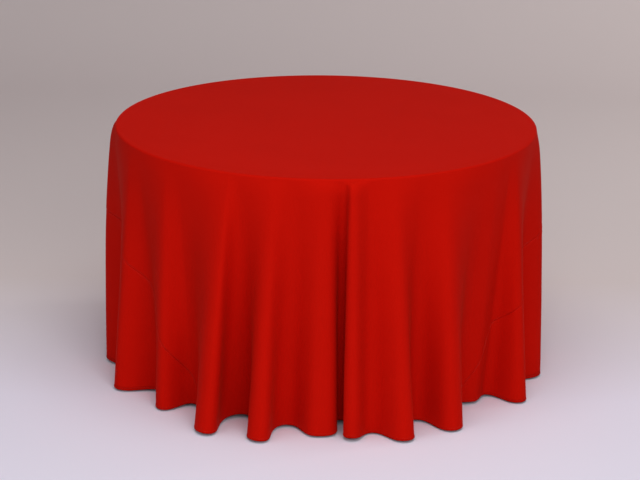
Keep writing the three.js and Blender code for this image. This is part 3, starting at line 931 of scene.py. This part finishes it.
        hem_row = self.drape.cloth_radius - self.hem_height - self.hem_row_gap
        path, out, _ = self._line(np.full(len(self.columns), hem_row), self.columns, True)
        hem_stitches = self.stitches("hem_stitches", [path + out * self.stitch_stand], True)
        lines = []
        for side in (-1, 1):
            columns = self.side_columns(side)[2:-2]
            for shift in (-self.seam_row_shift, self.seam_row_shift):
                path, out, _ = self._line(self.seam_distance[columns] + shift, columns, False)
                lines.append(path + out * self.stitch_stand)
        seam_stitches = self.stitches("seam_stitches", lines, False)

        for piece, node in (
            (centre, "centre_panel"), (left, "side_panel_left"), (right, "side_panel_right"),
            (hem, "hem"), (seam_left, "seam_left"), (seam_right, "seam_right"),
        ):
            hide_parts(node)
        pieces = [centre, left, right, hem, seam_left, seam_right, hem_stitches, seam_stitches]
        for piece in pieces:
            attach(piece, TABLE_BODY)
        return pieces


def stitch_tree() -> bpy.types.NodeTree:
    """Builds the node tree that lays stitches along a curve.

    Returns:
        A tree with inputs for the pitch, the stitch's length, the thread and its material.
    """
    tree = bpy.data.node_groups.new("lay_stitches", "GeometryNodeTree")
    face = tree.interface
    for name, kind in (
        ("Geometry", "Geometry"), ("Pitch", "Float"), ("Stitch length", "Float"),
        ("Thread thickness", "Float"), ("Thread", "Material"),
    ):
        face.new_socket(name, in_out="INPUT", socket_type="NodeSocket" + kind)
    face.new_socket("Geometry", in_out="OUTPUT", socket_type="NodeSocketGeometry")
    nodes = tree.nodes
    given = nodes.new("NodeGroupInput")
    result = nodes.new("NodeGroupOutput")

    spread = nodes.new("GeometryNodeResampleCurve")
    spread.mode = "LENGTH"
    loop = nodes.new("GeometryNodeMeshIcoSphere")
    loop.inputs["Radius"].default_value = 0.5
    loop.inputs["Subdivisions"].default_value = 1
    size = nodes.new("ShaderNodeCombineXYZ")
    turn = nodes.new("FunctionNodeAlignEulerToVector")
    turn.axis = "Z"
    tangent = nodes.new("GeometryNodeInputTangent")
    place = nodes.new("GeometryNodeInstanceOnPoints")
    real = nodes.new("GeometryNodeRealizeInstances")
    dress = nodes.new("GeometryNodeSetMaterial")

    for source, output, target, socket in (
        (given, "Geometry", spread, "Curve"),
        (given, "Pitch", spread, "Length"),
        (given, "Thread thickness", size, "X"),
        (given, "Thread thickness", size, "Y"),
        (given, "Stitch length", size, "Z"),
        (tangent, "Tangent", turn, "Vector"),
        (spread, "Curve", place, "Points"),
        (loop, "Mesh", place, "Instance"),
        (turn, "Rotation", place, "Rotation"),
        (size, "Vector", place, "Scale"),
        (place, "Instances", real, "Geometry"),
        (real, "Geometry", dress, "Geometry"),
        (given, "Thread", dress, "Material"),
        (dress, "Geometry", result, "Geometry"),
    ):
        tree.links.new(source.outputs[output], target.inputs[socket])
    return tree


def baked(carrier: Piece, tree: bpy.types.NodeTree, values: dict, name: str) -> Piece:
    """Runs a node tree on an object and keeps the result as a plain mesh.

    Args:
        carrier: the object that the tree works on; it is deleted.
        tree: the node tree.
        values: its inputs by name.
        name: the new piece's name.

    Returns:
        The new piece.
    """
    modifier = carrier.modifiers.new("nodes", "NODES")
    modifier.node_group = tree
    for item in tree.interface.items_tree:
        if item.item_type == "SOCKET" and item.in_out == "INPUT" and item.name in values:
            modifier[item.identifier] = values[item.name]
    graph = bpy.context.evaluated_depsgraph_get()
    mesh = bpy.data.meshes.new_from_object(carrier.evaluated_get(graph), depsgraph=graph)
    mesh.name = name
    piece = bpy.data.objects.new(name, mesh)
    bpy.context.scene.collection.objects.link(piece)
    mesh.polygons.foreach_set("use_smooth", np.ones(len(mesh.polygons), bool))
    bpy.data.objects.remove(carrier)
    return piece


# ------------------------------------ the table


class TablePart(Enum):
    """Kinds of table piece that share a finish, by the starts of their names."""

    TOP = ("tabletop",)
    EDGE = ("edge_band",)
    RUNNER = ("runner_",)
    CROSS_RUNNER = ("cross_runner_",)
    PAINTED = ("leg_", "pivot_tube_", "crossbar_", "brace_sleeve_", "brace_arm_")
    PIN = ("brace_pin_",)
    PLATED = ("brace_rail_", "bracket_")
    FOOT_CAP = ("foot_cap_",)


@dataclass
class BanquetTable:
    """The folding table under the cloth. Its shapes are the frame's own; this dresses them."""

    birch: WoodFinish = WoodFinish(
        "birch_plywood", linear(214, 178, 128), linear(176, 132, 84), Grain.ALONG_X)
    beech: WoodFinish = WoodFinish("beech_runner", *BEECH, Grain.ALONG_X, 0.55)
    cross_beech: WoodFinish = WoodFinish("beech_cross_runner", *BEECH, Grain.ALONG_Y, 0.55)
    paint: PaintFinish = PaintFinish("hammered_grey_paint", linear(84, 87, 91), linear(132, 134, 137))
    zinc: MetalFinish = MetalFinish("zinc_plate", linear(205, 208, 212), linear(160, 164, 168))
    screw_zinc: MetalFinish = MetalFinish("screw_zinc", linear(214, 210, 196), linear(168, 166, 156))
    rubber: MouldedFinish = MouldedFinish(
        "black_rubber", linear(24, 24, 25), linear(62, 61, 60), 0.85, 900.0)
    vinyl: MouldedFinish = MouldedFinish(
        "brown_vinyl", linear(78, 56, 40), linear(104, 80, 60), 0.5, 600.0)

    def dress(self) -> None:
        """Gives every carried-over piece of the table its finish."""
        screw = self.screw_zinc.material()
        finishes = {
            TablePart.TOP: self.birch.material(),
            TablePart.EDGE: self.vinyl.material(),
            TablePart.RUNNER: self.beech.material(),
            TablePart.CROSS_RUNNER: self.cross_beech.material(),
            TablePart.PAINTED: self.paint.material(),
            TablePart.PIN: screw,
            TablePart.PLATED: self.zinc.material(),
            TablePart.FOOT_CAP: self.rubber.material(),
        }
        for name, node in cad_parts.items():
            part = next((p for p in TablePart if name.startswith(p.value)), None)
            if part is None:
                continue
            material = screw if "_screw_" in name else finishes[part]
            node.data.materials.clear()
            node.data.materials.append(material)
            log.info("dressed %s with %s", name, material.name)


# ------------------------------------ the studio


@dataclass(frozen=True)
class Lamp:
    """One large soft lamp: where it hangs, what it points at, its width and height, and its watts."""

    name: str
    place: Triple
    aim: Triple
    size: tuple[float, float]
    power: float
    colour: Triple

    def hang(self) -> None:
        """Puts the lamp into the scene."""
        data = bpy.data.lights.new(self.name, "AREA")
        data.shape = "RECTANGLE"
        data.size, data.size_y = self.size
        data.energy = self.power
        data.color = self.colour
        lamp = bpy.data.objects.new(self.name, data)
        heading = Vector(self.aim) - Vector(self.place)
        turn = heading.to_track_quat("-Z", "Y").to_matrix().to_4x4()
        lamp.matrix_world = Matrix.Translation(self.place) @ turn
        bpy.context.scene.collection.objects.link(lamp)


@dataclass
class Studio:
    """A pale seamless sweep, soft light and the camera."""

    camera_place: Triple = (0.0, -6.7649, 2.4614)
    camera_pitch: float = -0.297906
    camera_yaw: float = -0.0020192
    camera_roll: float = 0.0110662
    lens: float = 135.0
    sweep_radius: float = 2.2
    sweep_steps: int = 24
    sweep_front: float = -14.0
    sweep_back: float = 3.4
    sweep_half_width: float = 9.0
    wall_height: float = 9.0
    floor_colour: Triple = linear(234, 232, 248)
    # painted shade: the wall's colour is darker and warmer than the floor's, standing in for the dimmer
    # light at the back of the sweep
    shaded_wall_colour: Triple = linear(222, 211, 211)
    surround: tuple[float, ...] = (0.83, 0.81, 0.83, 1.0)
    surround_strength: float = 0.27
    lamps: tuple[Lamp, ...] = (
        Lamp("key", (1.0, -5.7, 3.0), (0, 0, 0.4), (3.4, 2.4), 143.0, (1.0, 0.985, 0.97)),
        Lamp("fill", (-4.2, -3.9, 2.4), (0, 0, 0.4), (3.0, 2.4), 30.0, (0.98, 0.985, 1.0)),
        Lamp("top", (0.2, -1.5, 4.6), (0, -0.6, 0.3), (3.4, 3.0), 92.0, (1.0, 0.99, 0.98)),
        Lamp("wall", (4.6, 1.2, 3.0), (3.4, 5.6, 0.9), (1.6, 1.6), 84.0, (1.0, 0.97, 0.92)),
    )

    def camera(self) -> None:
        """Makes the camera and aims it."""
        data = bpy.data.cameras.new("camera")
        data.lens = self.lens
        data.sensor_width = 36.0
        data.clip_end = 60.0
        camera = bpy.data.objects.new("camera", data)
        pitch, yaw = self.camera_pitch, self.camera_yaw
        level_ahead = Vector((math.sin(yaw), math.cos(yaw), 0.0))
        ahead = level_ahead * math.cos(pitch) + Vector((0.0, 0.0, math.sin(pitch)))
        level = Vector((math.cos(yaw), -math.sin(yaw), 0.0))
        above = level.cross(ahead)
        right = level * math.cos(self.camera_roll) + above * math.sin(self.camera_roll)
        up = above * math.cos(self.camera_roll) - level * math.sin(self.camera_roll)
        turn = Matrix((right, up, -ahead)).transposed().to_4x4()
        camera.matrix_world = Matrix.Translation(self.camera_place) @ turn
        bpy.context.scene.collection.objects.link(camera)
        bpy.context.scene.camera = camera

    def sweep(self) -> None:
        """Makes the floor, which curves up into a plain wall behind; towards the back its colour turns
        darker and warmer, a painted shade for the dimmer light there.
        """
        half = self.sweep_half_width
        profile = [(self.sweep_front, 0.0), (self.sweep_back, 0.0)]
        for step in range(1, self.sweep_steps + 1):
            angle = step / self.sweep_steps * QUARTER_TURN
            profile.append((
                self.sweep_back + self.sweep_radius * math.sin(angle),
                self.sweep_radius * (1 - math.cos(angle)),
            ))
        profile.append((self.sweep_back + self.sweep_radius, self.wall_height))
        points = [(x, y, z) for y, z in profile for x in (-half, half)]
        faces = [(2 * i, 2 * i + 1, 2 * i + 3, 2 * i + 2) for i in range(len(profile) - 1)]
        mesh = bpy.data.meshes.new("floor")
        mesh.from_pydata(points, [], faces)
        mesh.polygons.foreach_set("use_smooth", np.ones(len(faces), bool))
        tree = NodeTree("pale_paper")
        depth = tree.node("ShaderNodeSeparateXYZ", {}, {0: tree.mapped("Object", PLAIN)}, 1)
        # painted shade: from 0.3 m in front of the table's middle to about 0.8 m behind it, the paper fades
        # to the darker wall colour
        far = ((depth + 0.3) * 0.9).clamped()
        paper = tree.surface({
            "Base Color": tree.blend(far, self.floor_colour, self.shaded_wall_colour),
            "Roughness": 0.9,
        })
        link("floor", mesh, paper)

    def light(self) -> None:
        """Soft light from the front and above, with a weak even surround."""
        for lamp in self.lamps:
            lamp.hang()
        world = bpy.data.worlds.new("surround")
        world.use_nodes = True
        background = world.node_tree.nodes["Background"]
        background.inputs["Color"].default_value = self.surround
        background.inputs["Strength"].default_value = self.surround_strength
        bpy.context.scene.world = world
        bpy.context.scene.view_settings.view_transform = "Standard"

    def build(self) -> None:
        """Makes the whole studio."""
        self.camera()
        self.sweep()
        self.light()


def main() -> None:
    """Builds the studio, dresses the table and hangs the cloth."""
    logging.basicConfig(level=logging.INFO, format="%(name)s: %(message)s")
    Studio().build()
    BanquetTable().dress()
    cloth_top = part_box("centre_panel")[1].z
    edge_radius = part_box("edge_band")[1].x + EDGE_CLEARANCE
    drape = Drape(FOLDS, edge_radius, cloth_top, CLOTH_RADIUS)
    for piece in Tablecloth(drape).build():
        log.info("made %s", piece.name)


if __name__ == "__main__":
    main()
